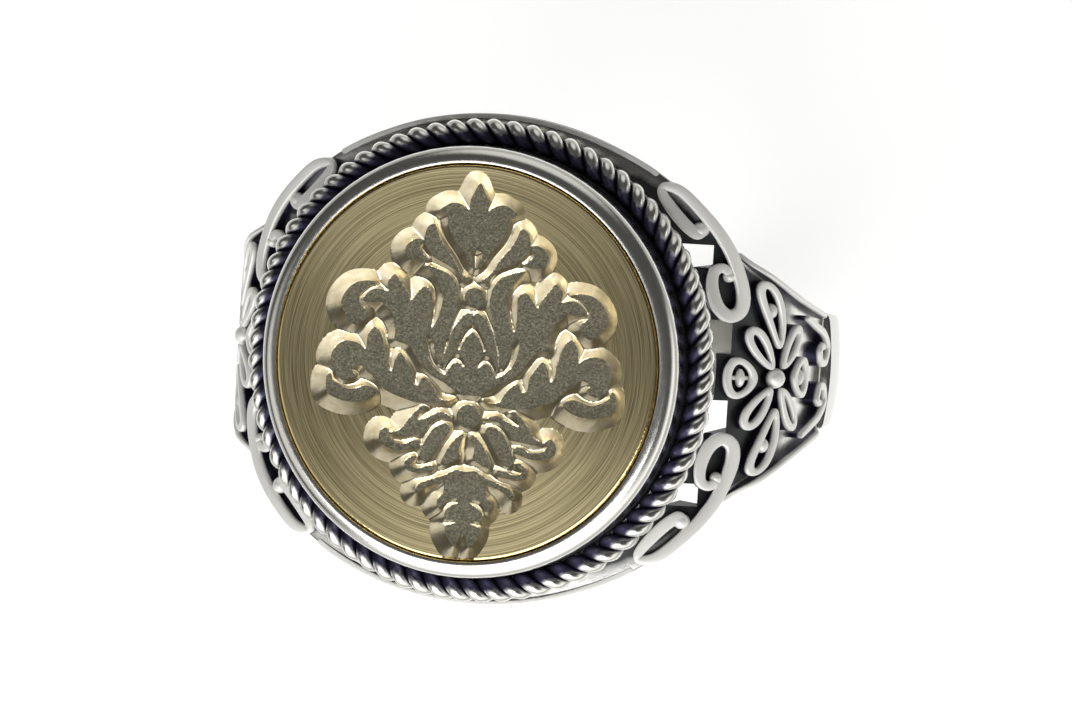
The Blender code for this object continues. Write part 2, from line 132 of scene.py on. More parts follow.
PAIRED = {
    "lobe_1": (
        (0.05, 4.95), (0.25, 5.2), (0.3, 5.5), (0.45, 5.8), (0.7, 5.95), (1, 6), (1.25, 5.9), (1.5, 5.7),
        (1.25, 5.5), (1.2, 5.25), (1.15, 5.05), (0.95, 4.65), (0.55, 4.15), (0.3, 3.75), (0.1, 3.55),
        (0.15, 3.85), (0.25, 4.15), (0.05, 4.3),
    ),
    "lobe_2": (
        (1.7, 5.15), (1.95, 5.05), (2.05, 4.8), (2.1, 4.55), (2, 4.25), (1.75, 3.95), (1.4, 3.75),
        (0.95, 3.55), (0.65, 3.3), (0.5, 3), (0.25, 3.1), (0.6, 3.4), (0.95, 3.95), (1.35, 4.45),
        (1.55, 4.8),
    ),
    "lobe_3": (
        (2.1, 4.5), (2.35, 4.55), (2.6, 4.45), (2.8, 4.2), (2.75, 3.9), (2.6, 3.7), (2.4, 3.7),
        (2.1, 3.7), (1.85, 3.8), (2.05, 3.95), (2.25, 4.2),
    ),
    "side_leaf": (
        (1.95, 3.55), (1.6, 3.5), (1.3, 3.4), (1, 3.25), (0.75, 2.95), (0.65, 2.65), (0.6, 2.3),
        (0.7, 1.85), (0.8, 1.4), (0.95, 0.9), (1.05, 0.75), (1.1, 0.3), (1.2, -0.15), (1.35, -0.05),
        (1.45, 0.25), (1.5, 0.6), (1.55, 0.8), (1.6, 1.2), (1.4, 1.6), (1.25, 2.3), (1.4, 2.85),
        (1.6, 3.2),
    ),
    "upper_acanthus": (
        (1.7, 2.55), (1.9, 2.75), (2.1, 2.7), (2.3, 2.45), (2.5, 2.2), (2.6, 2.45), (2.9, 2.85),
        (3.15, 3.15), (3.35, 3), (3.45, 2.8), (3.4, 2.5), (3.65, 2.55), (3.95, 2.55), (4.2, 2.4),
        (4.4, 2.1), (4.05, 2.05), (3.65, 2.05), (3.45, 1.85), (3.2, 1.6), (3.1, 1.3), (3.05, 0.95),
        (3.05, 0.65), (2.55, 0.5), (2.25, 0.15), (1.9, -0.3), (1.5, -0.6), (1, -0.85), (0.6, -1.1),
        (0.45, -1.25), (0.5, -0.95), (0.8, -0.65), (1.1, -0.5), (1.4, -0.3), (1.65, 0), (1.8, 0.4),
        (1.85, 0.8), (1.75, 1), (1.6, 0.8), (1.65, 1.25), (1.7, 1.75), (1.7, 2.15),
    ),
    "upper_curl": (
        (3.9, 2.8), (4.25, 2.85), (4.7, 2.75), (5.05, 2.45), (5.25, 2.05), (5.2, 1.7), (4.9, 1.35),
        (4.7, 1.15), (4.45, 1.2), (4.2, 1.45), (4.2, 1.7), (4.45, 1.9), (4.55, 2.2), (4.4, 2.45),
        (4.15, 2.65),
    ),
    "lower_acanthus": (
        (0.55, -1.4), (0.85, -1.5), (1.15, -1.45), (1.3, -1.25), (1.45, -1), (1.65, -0.8), (1.9, -0.7),
        (2.05, -1), (2.25, -0.9), (2.3, -0.5), (2.5, -0.15), (2.8, 0.2), (3, -0.05), (3.05, -0.3),
        (3.15, -0.55), (3.3, -0.3), (3.35, 0.05), (3.45, 0.4), (3.55, 0.75), (3.7, 1), (3.9, 1.1),
        (4.05, 0.95), (4.15, 0.7), (4.2, 0.25), (4.4, 0.4), (4.7, 0.5), (5.05, 0.5), (5.35, 0.3),
        (5.55, -0.05), (5.45, -0.45), (5.3, -0.8), (5.05, -1), (4.75, -0.95), (4.55, -0.8), (4.7, -0.55),
        (4.35, -0.4), (4.1, -0.6), (3.75, -0.85), (3.35, -1.25), (2.7, -1.5), (2.1, -1.65), (1.45, -1.65),
        (0.95, -1.55),
    ),
    "lower_curl": (
        (3.7, -1.45), (3.75, -1.25), (4.05, -1.15), (4.3, -1.2), (4.6, -1.3), (4.9, -1.3), (5.25, -1.15),
        (5.45, -1), (5.55, -0.75), (5.7, -0.9), (5.7, -1.3), (5.6, -1.55), (5.3, -1.7), (4.9, -1.8),
        (4.5, -1.8), (4.1, -1.7),
    ),
    "arch": (
        (0.05, 1.85), (0.35, 1.8), (0.6, 1.5), (0.8, 1.15), (0.9, 0.75), (1, 0.45), (1.05, 0.15),
        (1.05, -0.25), (0.9, 0), (0.7, 0.25), (0.45, 0.25), (0.25, -0.05), (0.35, 0.2), (0.45, 0.4),
        (0.55, 0.5), (0.4, 0.95), (0.2, 1.3), (0.05, 1.5),
    ),
    "leaf": (
        (0.7, -2.1), (0.9, -2), (1.15, -1.95), (1.45, -2.1), (1.75, -2.25), (2, -2.3), (1.9, -2.05),
        (1.7, -1.85), (1.6, -1.8), (1.85, -1.75), (2.1, -2), (2.4, -2.35), (2.65, -2.7), (3, -2.85),
        (2.9, -2.95), (2.55, -2.95), (2.15, -2.9), (1.8, -2.85), (1.65, -2.7), (1.45, -2.4), (1.2, -2.2),
        (0.95, -2.15),
    ),
    "leaf_curl": (
        (1.9, -3.1), (2.15, -3.1), (2.45, -3.25), (2.7, -3.25), (2.95, -3.2), (3.15, -3), (3.1, -2.8),
        (3.25, -2.7), (3.4, -2.75), (3.5, -3), (3.45, -3.2), (3.25, -3.4), (2.9, -3.5), (2.5, -3.5),
        (2.15, -3.4), (1.9, -3.3),
    ),
    "side_petal": (
        (0.8, -2.4), (1.05, -2.4), (1.35, -2.6), (1.6, -2.95), (1.75, -3.25), (1.85, -3.6), (1.8, -3.8),
        (1.6, -3.85), (1.35, -3.65), (1.1, -3.3), (0.9, -2.95), (0.7, -2.6),
    ),
    "petal_curl": (
        (1.25, -4), (1.6, -4.05), (1.9, -4.15), (2.2, -4.05), (2.05, -3.85), (1.95, -3.7), (2.15, -3.7),
        (2.4, -3.9), (2.4, -4.15), (2.15, -4.3), (1.75, -4.3), (1.35, -4.25),
    ),
    "lower_petal": (
        (0.15, -2.75), (0.4, -2.85), (0.65, -3.15), (0.85, -3.5), (1, -3.9), (0.8, -3.95), (0.5, -3.8),
        (0.25, -3.65), (0.3, -3.25),
    ),
}


# ---------------------------------------------------------------- curves and meshes


def spline(points, per_span, closed=False):
    """A Catmull-Rom curve through the points."""
    points = np.array(points, float)
    if closed:
        padded = np.vstack([points[-1], points, points[0], points[1]])
    else:
        padded = np.vstack([2 * points[0] - points[1], points, 2 * points[-1] - points[-2]])
    out = []
    for i in range(len(padded) - 3):
        a, b, c, d = padded[i : i + 4]
        for t in np.arange(per_span) / per_span:
            curve = 2 * b + (c - a) * t + (2 * a - 5 * b + 4 * c - d) * t**2 + (3 * b - a - 3 * c + d) * t**3
            out.append(0.5 * curve)
    if not closed:
        out.append(points[-1])
    return np.array(out)


def even_path(points, spacing):
    """A smooth curve through rows of numbers, read at even steps of the first two."""
    fine = spline(points, 30)
    reach = np.concatenate([[0.0], np.cumsum(np.hypot(*np.diff(fine[:, :2], axis=0).T))])
    steps = np.linspace(0.0, reach[-1], max(8, int(reach[-1] / spacing)))
    return np.stack([np.interp(steps, reach, column) for column in fine.T], axis=1)


def smooth_step(x, low, high):
    t = np.clip((np.asarray(x, float) - low) / (high - low), 0.0, 1.0)
    return t * t * (3 - 2 * t)


def ring_faces(rings, sides, closed):
    """Quads between successive rings of points, with flat ends unless the last ring meets the first."""
    ring = np.arange(rings if closed else rings - 1)[:, None]
    side = np.arange(sides)[None, :]
    here, ahead = ring * sides, (ring + 1) % rings * sides
    beside = (side + 1) % sides
    quads = np.stack([here + side, here + beside, ahead + beside, ahead + side], axis=2).reshape(-1, 4)
    faces = [tuple(quad) for quad in quads.tolist()]
    if not closed:
        faces.append(tuple(range(sides))[::-1])
        faces.append(tuple((rings - 1) * sides + i for i in range(sides)))
    return faces


def add_piece(name, points, faces, finishes, nodes, polish=None, finish_of_face=None, sharp_at=38.0):
    """A named piece that stands for CAD nodes. The shade-and-polish value is 1 where it is bright and 0 in
    its hollows, which are dark with patina and painted shade.
    """
    points = np.asarray(points, float)
    mesh = bpy.data.meshes.new(name)
    mesh.from_pydata((points * MM).tolist(), [], faces)
    if polish is not None:
        layer = mesh.attributes.new("polish", "FLOAT", "POINT")
        layer.data.foreach_set("value", np.asarray(polish, np.float32))
    for finish in finishes:
        mesh.materials.append(finish)
    if finish_of_face is not None:
        mesh.polygons.foreach_set("material_index", np.asarray(finish_of_face, np.int32))
    turn_outwards(mesh)
    mesh.shade_smooth()
    mesh.set_sharp_from_angle(angle=math.radians(sharp_at))
    obj = bpy.data.objects.new(name, mesh)
    bpy.context.scene.collection.objects.link(obj)
    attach(obj, "root")
    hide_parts(*nodes)
    return obj


def turn_outwards(mesh):
    """Flips a closed mesh whose faces point inwards. Its faces already agree with each other."""
    mesh.calc_loop_triangles()
    corners = np.empty(len(mesh.vertices) * 3)
    mesh.vertices.foreach_get("co", corners)
    corners = corners.reshape(-1, 3)
    triangles = np.empty(len(mesh.loop_triangles) * 3, np.int32)
    mesh.loop_triangles.foreach_get("vertices", triangles)
    a, b, c = (corners[triangles.reshape(-1, 3)[:, i]] for i in range(3))
    if np.einsum("ij,ij->", a, np.cross(b, c)) < 0:
        mesh.flip_normals()


def rounded(outline, radius, steps=5):
    """The (r, z) outline with its inner corners turned into small curves."""
    outline = [np.array(point, float) for point in outline]
    out = [outline[0]]
    for before, corner, after in zip(outline, outline[1:], outline[2:]):
        back, ahead = before - corner, after - corner
        reach = min(radius, 0.45 * np.linalg.norm(back), 0.45 * np.linalg.norm(ahead))
        start = corner + back / np.linalg.norm(back) * reach
        end = corner + ahead / np.linalg.norm(ahead) * reach
        for t in np.linspace(0, 1, steps):
            out.append((1 - t) ** 2 * start + 2 * t * (1 - t) * corner + t**2 * end)
    out.append(outline[-1])
    return np.array(out)


def turned(name, outline, finish, nodes, polish, segments=224):
    """A solid of revolution. Its outline starts and ends on the axis, and the shade-and-polish value is a
    function of (r, z).
    """
    inner = np.array(outline[1:-1])
    count = len(inner)
    angles = 2 * math.pi * np.arange(segments) / segments
    points = [(0, 0, outline[0][1]), (0, 0, outline[-1][1])]
    for angle in angles:
        points += [(r * math.cos(angle), r * math.sin(angle), z) for r, z in inner]
    faces = []
    for step in range(segments):
        here, beside = 2 + step * count, 2 + (step + 1) % segments * count
        faces.append((0, here, beside))
        faces += [(here + i, here + i + 1, beside + i + 1, beside + i) for i in range(count - 1)]
        faces.append((1, beside + count - 1, here + count - 1))
    values = [polish(*point) for point in inner]
    return add_piece(name, points, faces, [finish], nodes, [values[0], values[-1]] + values * segments)


# ---------------------------------------------------------------- finishes


BRIGHT_SILVER = (0.93, 0.925, 0.88)
# Lighter silver for the painted sheen on the shank's recess
SHEEN_SILVER = (0.9, 0.895, 0.86)
PLAIN_SILVER = (0.62, 0.615, 0.6)
# Dark patina tints, which also paint the shade in hollows and recesses
PATINA_AND_SHADE = (0.05, 0.047, 0.085)
SLATE = (0.085, 0.09, 0.09)


class Finish:
    """A material's node tree, built by short calls."""

    def __init__(self, name):
        self.material = bpy.data.materials.new(name)
        self.material.use_nodes = True
        self.nodes = self.material.node_tree.nodes
        self.links = self.material.node_tree.links
        self.shader = self.nodes["Principled BSDF"]

    def add(self, kind, settings=None, **inputs):
        made = self.nodes.new("ShaderNode" + kind)
        for key, value in (settings or {}).items():
            setattr(made, key, value)
        for key, value in inputs.items():
            self.feed(made, key, value)
        return made

    def feed(self, target, key, value):
        socket = target.inputs[int(key[1:])] if key[0] == "i" and key[1:].isdigit() else target.inputs[key]
        if isinstance(value, bpy.types.NodeSocket):
            self.links.new(value, socket)
        else:
            socket.default_value = value

    def set(self, **inputs):
        for key, value in inputs.items():
            self.feed(self.shader, key.replace("_", " "), value)

    def place(self):
        return self.add("TexCoord").outputs["Object"]

    def noise(self, vector, scale, detail=2.0, roughness=0.5):
        made = self.add("TexNoise", Vector=vector, Scale=scale, Detail=detail, Roughness=roughness)
        return made.outputs["Fac"]

    def maths(self, operation, first, second=0.0):
        return self.add("Math", {"operation": operation}, i0=first, i1=second).outputs[0]

    def ramp(self, value, *stops):
        """Colours or greys between positions: each stop is (position, colour)."""
        made = self.add("ValToRGB", Fac=value)
        elements = made.color_ramp.elements
        while len(elements) < len(stops):
            elements.new(0.5)
        for element, (position, colour) in zip(elements, stops):
            element.position = position
            element.color = (*colour, 1.0) if isinstance(colour, tuple) else (colour, colour, colour, 1.0)
        return made.outputs["Color"]

    def bump(self, height, strength, distance):
        made = self.add("Bump", Height=height, Strength=strength, Distance=distance)
        self.feed(self.shader, "Normal", made.outputs["Normal"])


def silver_finish(name, plain, bright, dark, smooth=0.16, rough=0.5):
    """Silver that is dark in its hollows with patina and painted shade, bright where it is rubbed and where
    a painted sheen lightens it, and plain where it is smooth.
    """
    made = Finish(name)
    place = made.place()
    polish = made.add("Attribute", {"attribute_name": "polish"}).outputs["Fac"]
    grime = made.noise(place, 2600.0, 4.0)
    shifted = made.maths("ADD", polish, made.maths("MULTIPLY", made.maths("SUBTRACT", grime, 0.5), 0.35))
    made.set(Base_Color=made.ramp(shifted, (0.12, dark), (0.62, bright), (0.92, plain)), Metallic=1.0)
    rubbing = made.noise(place, 5200.0, 3.0)
    base = made.ramp(shifted, (0.1, rough), (0.7, smooth))
    made.set(Roughness=made.maths("ADD", base, made.maths("MULTIPLY", rubbing, 0.08)))
    made.bump(made.noise(place, 3800.0, 3.0), 0.25, 0.000012)
    return made.material


def satin_silver():
    """Silver rubbed bright and slightly matt on top, with dark patina and painted shade down its sides."""
    made = Finish("satin_silver")
    place = made.place()
    polish = made.add("Attribute", {"attribute_name": "polish"}).outputs["Fac"]
    grime = made.noise(place, 2600.0, 4.0)
    shifted = made.maths("ADD", polish, made.maths("MULTIPLY", made.maths("SUBTRACT", grime, 0.5), 0.3))
    made.set(
        Base_Color=made.ramp(shifted, (0.3, (0.03, 0.027, 0.06)), (0.75, (0.97, 0.965, 0.93))),
        Metallic=made.ramp(shifted, (0.3, 0.8), (0.8, 0.25)),
        Roughness=0.42,
    )
    made.bump(made.noise(place, 3800.0, 3.0), 0.25, 0.000012)
    return made.material


def distance_from_axis(made, place):
    flat = made.add("VectorMath", {"operation": "MULTIPLY"}, i0=place, i1=(1.0, 1.0, 0.0)).outputs[0]
    return made.add("VectorMath", {"operation": "LENGTH"}, i0=flat).outputs["Value"]


def brushed_brass():
    """Brass turned on a lathe: fine rings round the disc's centre."""
    made = Finish("brushed_brass")
    place = made.place()
    radius = distance_from_axis(made, place)
    spread = made.add("VectorMath", {"operation": "SCALE"}, i0=place, Scale=0.012).outputs[0]
    rings = made.add("CombineXYZ", X=radius).outputs[0]
    lines = made.add("VectorMath", {"operation": "ADD"}, i0=rings, i1=spread).outputs[0]
    fine = made.noise(lines, 28000.0, 2.0)
    coarse = made.noise(lines, 9000.0, 2.0)
    both = made.maths("ADD", made.maths("MULTIPLY", fine, 0.78), made.maths("MULTIPLY", coarse, 0.22))
    made.set(
        Base_Color=made.ramp(both, (0.36, (0.25, 0.206, 0.104)), (0.64, (0.67, 0.578, 0.34))),
        Metallic=1.0,
        Roughness=0.38,
        Anisotropic=0.6,
        Anisotropic_Rotation=0.25,
        Tangent=made.add("Tangent", {"direction_type": "RADIAL", "axis": "Z"}).outputs[0],
    )
    made.bump(both, 0.4, 0.00002)
    return made.material


def cut_brass(name, bright, dim, roughness):
    """Freshly cut brass with faint tool marks."""
    made = Finish(name)
    place = made.place()
    marks = made.noise(place, 2400.0, 3.0)
    made.set(Base_Color=made.ramp(marks, (0.3, dim), (0.7, bright)), Metallic=1.0, Roughness=roughness)
    made.bump(made.noise(place, 4200.0, 3.0), 0.35, 0.00003)
    return made.material


def engraved_ground():
    """The matt, speckled ground at the bottom of the engraving."""
    made = Finish("engraved_ground")
    place = made.place()
    grain = made.noise(place, 13000.0, 3.0, 0.7)
    dark, middle, light = (0.11, 0.103, 0.075), (0.22, 0.205, 0.146), (0.4, 0.37, 0.27)
    colour = made.ramp(grain, (0.34, dark), (0.52, middle), (0.7, light))
    made.set(Base_Color=colour, Metallic=0.6, Roughness=0.6)
    made.bump(grain, 0.8, 0.00005)
    return made.material


# ---------------------------------------------------------------- seal


def ornament_loops():
    loops = []
    for outline in AXIAL.values():
        whole = list(outline) + [(-x, y) for x, y in outline[-2:0:-1]]
        loops.append(spline(whole, 5, closed=True))
    for outline in PAIRED.values():
        loops.append(spline(outline, 5, closed=True))
    return loops


def distance_to_ground(points, reach):
    """Distances from the ornament's ground, negative inside it, and the nearest points of its edge."""
    best = np.full(len(points), 9.0)
    nearest = points.copy()
    for loop in ornament_loops():
        low, high = loop.min(axis=0) - reach, loop.max(axis=0) + reach
        near = np.where(((points > low) & (points < high)).all(axis=1))[0]
        if not len(near):
            continue
        spot = points[near][:, None, :]
        start, side = loop[None], (np.roll(loop, -1, axis=0) - loop)[None]
        share = np.clip(((spot - start) * side).sum(2) / (side**2).sum(2), 0, 1)
        foot = start + share[..., None] * side
        gap = np.linalg.norm(spot - foot, axis=2)
        closest = gap.argmin(axis=1)
        rows = np.arange(len(near))
        rises = (start[..., 1] > spot[..., 1]) != (start[..., 1] + side[..., 1] > spot[..., 1])
        slope = np.where(side[..., 1] == 0, 1e-12, side[..., 1])
        crossing_x = start[..., 0] + (spot[..., 1] - start[..., 1]) / slope * side[..., 0]
        inside = (rises & (spot[..., 0] < crossing_x)).sum(axis=1) % 2 == 1
        signed = np.where(inside, -1, 1) * gap[rows, closest]
        better = signed < best[near]
        best[near[better]] = signed[better]
        nearest[near[better]] = foot[rows, closest][better]
    return best, nearest


def seal_disc(face, wall, ground, edge):
    """The disc as one relief: a flat face, sloping cut walls and a sunk ground, inside a chamfered edge."""
    cells = DISC_CELLS
    radius = DISC_RADIUS - DISC_CHAMFER
    u, v = np.meshgrid(np.linspace(-1, 1, cells + 1), np.linspace(-1, 1, cells + 1), indexing="ij")
    flat = np.stack([u * np.sqrt(1 - v**2 / 2), v * np.sqrt(1 - u**2 / 2)], axis=2).reshape(-1, 2) * radius
    cosine, sine = math.cos(ORNAMENT_TURN), math.sin(ORNAMENT_TURN)
    turn = np.array(((cosine, sine), (-sine, cosine)))
    design = (flat - (ORNAMENT_OFFSET, 0)) @ turn.T
    side = np.where(design[:, 0] < 0, -1.0, 1.0)
    design[:, 0] = np.abs(design[:, 0])
    distance, nearest = distance_to_ground(design, WALL_WIDTH + 0.2)
    # Points close to a crease move onto it, so that it runs clean and not in steps
    step = 0.55 * 2 * radius / cells
    away = design - nearest
    length = np.maximum(np.linalg.norm(away, axis=1), 1e-9)[:, None]
    on_edge = np.abs(distance) < step
    on_rim = np.abs(distance - WALL_WIDTH) < step
    design[on_edge] = nearest[on_edge]
    distance[on_edge] = 0.0
    design[on_rim] = (nearest + away / length * WALL_WIDTH)[on_rim]
    distance[on_rim] = WALL_WIDTH
    design[:, 0] *= side
    flat = design @ turn + (ORNAMENT_OFFSET, 0)
    depth = ENGRAVING_DEPTH * (1 - np.clip(distance, 0, WALL_WIDTH) / WALL_WIDTH)
    # The crests between cuts are rubbed a little round
    grid = depth.reshape(cells + 1, cells + 1)
    for _ in range(2):
        soft = grid.copy()
        soft[1:-1, 1:-1] = (grid[:-2, 1:-1] + grid[2:, 1:-1] + grid[1:-1, :-2] + grid[1:-1, 2:]) / 4
        sloping = (distance > 0) & (distance < WALL_WIDTH)
        grid = np.where(sloping.reshape(grid.shape), (grid + soft) / 2, grid)
    depth = grid.ravel()
    points = np.column_stack([flat, FACE_Z - depth])

    index = np.arange((cells + 1) ** 2).reshape(cells + 1, cells + 1)
    quads = np.stack([index[:-1, :-1], index[1:, :-1], index[1:, 1:], index[:-1, 1:]], axis=2).reshape(-1, 4)
    heights = distance[quads]
    on_ground, on_face = (heights <= 1e-9).all(1), (heights >= WALL_WIDTH - 1e-9).all(1)
    finish_of_face = np.where(on_ground, 2, np.where(on_face, 0, 1))
    loop = np.concatenate([index[:, 0], index[-1, 1:], index[-2::-1, -1], index[0, -2:0:-1]])
    angles = np.arctan2(flat[loop, 1], flat[loop, 0])
    around = np.stack([np.cos(angles), np.sin(angles)], axis=1)
    rings = (
        (DISC_RADIUS - 0.35 * DISC_CHAMFER, FACE_Z - 0.3 * DISC_CHAMFER),
        (DISC_RADIUS, FACE_Z - DISC_CHAMFER),
        (DISC_RADIUS, DISC_BOTTOM),
    )
    faces = quads.tolist()
    previous = loop
    extra = []
    for r, z in rings:
        first = len(points) + sum(len(e) for e in extra)
        extra.append(np.column_stack([around * r, np.full(len(around), z)]))
        current = np.arange(first, first + len(around))
        ring = np.stack([previous, current, np.roll(current, -1), np.roll(previous, -1)], axis=1)
        faces += ring.tolist()
        previous = current
    faces.append(previous[::-1].tolist())
    points = np.vstack([points] + extra)
    rest = len(faces) - len(quads)
    finish_of_face = np.concatenate([finish_of_face, np.full(rest, 3)])
    return add_piece(
        "engraved_seal_disc", points, faces, [face, wall, ground, edge], ["seal_disc"],
        finish_of_face=finish_of_face, sharp_at=32.0,
    )


# ---------------------------------------------------------------- head


def bezel(finish):
    """The cup round the seal: a flat inner lip, a rounded outer rim, a straight wall and a floor."""
    bore = DISC_RADIUS + 0.035
    floor_top = DISC_BOTTOM - SOLDER_GAP
    rim = [(bore, FACE_Z - 0.12), (bore + 0.04, FACE_Z - 0.03)]
    for turn in np.radians(np.linspace(0, 90, 14)):
        r = BEZEL_RADIUS - RIM_WIDTH + RIM_WIDTH * math.sin(turn)
        rim.append((r, FACE_Z - RIM_DROP + RIM_RISE * math.cos(turn)))
    outline = [(0.0, floor_top), (bore, floor_top)] + rim
    outline += [(BEZEL_RADIUS, PLATE_TOP - SOLDER_GAP), (bore, BEZEL_BOTTOM), (0.0, BEZEL_BOTTOM)]
    # Patina and painted shade: the wall is dark below the rim, down towards the rope, and bright only near
    # the top.
    return turned(
        "rimmed_bezel_cup", outline, finish, ["bezel_cup"],
        lambda r, z: float(smooth_step(z, FACE_Z - 0.9, FACE_Z - 0.45)),
    )


def base_plate(finish):
    outline = rounded(
        [(0.0, PLATE_TOP), (PLATE_RADIUS, PLATE_TOP), (PLATE_RADIUS, PLATE_BOTTOM), (0.0, PLATE_BOTTOM)], 0.1
    )
    # Patina and painted shade: the plate's top is dark, and only its outer edge is bright.
    return turned(
        "round_base_plate", outline, finish, ["base_plate"],
        lambda r, z: float(smooth_step(r, PLATE_RADIUS - 0.25, PLATE_RADIUS - 0.02)),
    )


def rope_strand(name, node, phase, finish, per_turn=20, sides=14):
    """One of the two wires twisted into the rope round the head."""
    steps = ROPE_TURNS * per_turn
    angles = 2 * math.pi * np.arange(steps) / steps
    twist = phase - ROPE_TURNS * angles
    reach = ROPE_RADIUS + WIRE_OFFSET * np.cos(twist)
    height = ROPE_Z + WIRE_OFFSET * np.sin(twist)
    centres = np.stack([reach * np.cos(angles), reach * np.sin(angles), height], axis=1)
    along = np.roll(centres, -1, axis=0) - np.roll(centres, 1, axis=0)
    along /= np.linalg.norm(along, axis=1)[:, None]
    outward = np.stack([np.cos(angles), np.sin(angles), np.zeros(steps)], axis=1)
    first = outward - along * (outward * along).sum(1)[:, None]
    first /= np.linalg.norm(first, axis=1)[:, None]
    second = np.cross(along, first)
    turn = 2 * math.pi * np.arange(sides) / sides
    points = centres[:, None] + WIRE_RADIUS * (
        np.cos(turn)[None, :, None] * first[:, None] + np.sin(turn)[None, :, None] * second[:, None]
    )
    core = ROPE_RADIUS * outward + (0.0, 0.0, ROPE_Z)
    from_core = np.linalg.norm(points - core[:, None], axis=2)
    outside = np.hypot(points[..., 0], points[..., 1]) - ROPE_RADIUS
    # Patina and painted shade: each wire is dark in the crevice beside the other wire and on its inner side,
    # towards the bezel, and bright on its outer side.
    polish = smooth_step(from_core, 0.34, 0.5) * (0.1 + 0.9 * smooth_step(outside, -0.05, 0.3))
    return add_piece(
        name, points.reshape(-1, 3), ring_faces(steps, sides, True), [finish], [node],
        polish.ravel(), sharp_at=80.0,
    )


# ---------------------------------------------------------------- shank


def shank_line():
    """Half of the shank's outer line as distance, x, z and outward normal, from the top to the bottom."""
    t = np.linspace(0.0, math.pi, 6001)
    power = 2 / SHOULDER_SQUARENESS
    upper = t <= math.pi / 2
    sine, cosine = np.abs(np.sin(t)), np.abs(np.cos(t))
    x = np.where(upper, SHOULDER_HALF_SPAN * sine**power, SHOULDER_HALF_SPAN * sine)
    z = np.where(upper, CHEEK_HEIGHT * cosine**power, -BAND_OUTER_RADIUS * cosine)
    distance = np.concatenate([[0.0], np.cumsum(np.hypot(np.diff(x), np.diff(z)))])
    even = np.linspace(0.0, distance[-1], 1601)
    x, z = np.interp(even, distance, x), np.interp(even, distance, z)
    along_x, along_z = np.gradient(x), np.gradient(z)
    length = np.hypot(along_x, along_z)
    return even, x, z, -along_z / length, along_x / length


LINE = shank_line()
LINE_LENGTH = LINE[0][-1]


def on_shank(along, across, height):
    """Points at distances along the shank from its top (negative on the left), raised off its surface."""
    along, across, height = np.broadcast_arrays(*(np.asarray(v, float) for v in (along, across, height)))
    x, z, normal_x, normal_z = (np.interp(np.abs(along), LINE[0], values) for values in LINE[1:])
    side = np.where(along < 0, -1.0, 1.0)
    return np.stack([side * (x + height * normal_x), across, FINGER_Z + z + height * normal_z], axis=-1)


def half_width(along):
    """A smooth curve through the half widths, with the slope at each point taken from its neighbours."""
    at, widths = np.array(HALF_WIDTH_AT), np.array(HALF_WIDTH)
    slopes = np.gradient(widths, at)
    slopes[0] = 0.0
    along = np.minimum(np.abs(np.asarray(along, float)), at[-1] - 1e-9)
    i = np.searchsorted(at, along, side="right") - 1
    span = at[i + 1] - at[i]
    t = (along - at[i]) / span
    return (
        widths[i] * (2 * t**3 - 3 * t**2 + 1)
        + span * slopes[i] * (t**3 - 2 * t**2 + t)
        + widths[i + 1] * (3 * t**2 - 2 * t**3)
        + span * slopes[i + 1] * (t**3 - t**2)
    )


def block(points_by_level, name):
    """A closed cutter from outlines at several heights, each with the same number of points."""
    mesh = bpy.data.meshes.new(name)
    points = np.vstack(points_by_level)
    sides = len(points_by_level[0])
    mesh.from_pydata((points * MM).tolist(), [], ring_faces(len(points_by_level), sides, False))
    # The walls this cutter leaves are dark with patina and painted shade.
    layer = mesh.attributes.new("polish", "FLOAT", "POINT")
    layer.data.foreach_set("value", np.full(len(points), 0.2, np.float32))
    turn_outwards(mesh)
    cutter = bpy.data.objects.new(name, mesh)
    bpy.context.scene.collection.objects.link(cutter)
    return cutter


def seat_cutters():
    """The opening under the head, with two flat sides that leave the cheeks, and its four side windows."""
    angles = 2 * math.pi * (np.arange(256) + 0.5) / 256
    x, y = SEAT_RADIUS * np.cos(angles), SEAT_RADIUS * np.sin(angles)
    y = np.clip(y, -SEAT_HALF_WIDTH, SEAT_HALF_WIDTH)
    cutters = [block([np.stack([x, y, np.full(256, z)], axis=1) for z in (FINGER_Z + 1.4, FACE_Z)], "seat")]
    for reach, near, far in WINDOWS:
        for way in (1, -1):
            corners = np.array(((-reach, near), (reach, near), (reach, far), (-reach, far))) * (1, way)
            levels = [np.column_stack([corners, np.full(4, z)]) for z in (FINGER_Z + 1.4, FACE_Z)]
            cutters.append(block(levels, "window"))
    return cutters


